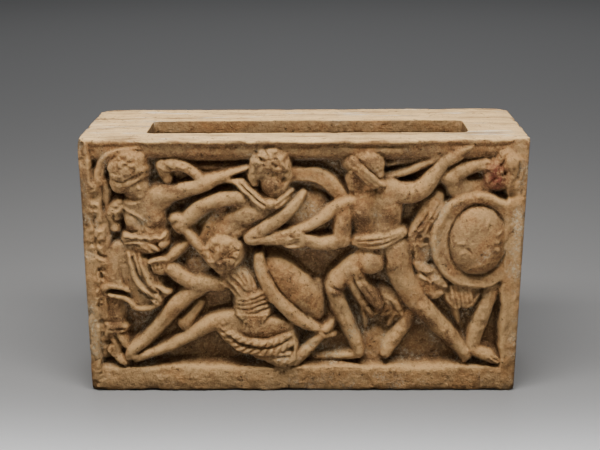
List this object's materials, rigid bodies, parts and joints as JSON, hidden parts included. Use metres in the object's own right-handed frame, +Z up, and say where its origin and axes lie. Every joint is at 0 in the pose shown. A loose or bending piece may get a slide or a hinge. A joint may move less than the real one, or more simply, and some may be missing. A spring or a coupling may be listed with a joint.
{
  "type": "cinerary urn",
  "caption": "Hollow rectangular terracotta chest for ashes, open through a long mouth in its top, with a battle in high relief on its front.",
  "frame": {"origin": "middle of the chest's flat underside", "axes": "+X along the long front to the right as seen from the front, -Y out of the carved front, +Z up"},
  "size_m": [0.422, 0.155, 0.255],
  "materials": {
    "terracotta": "unglazed buff terracotta, matt, pitted, with lime bloom and traces of red paint"
  },
  "bodies": {
    "root": {"urn_chest": "terracotta"}
  },
  "joints": []
}
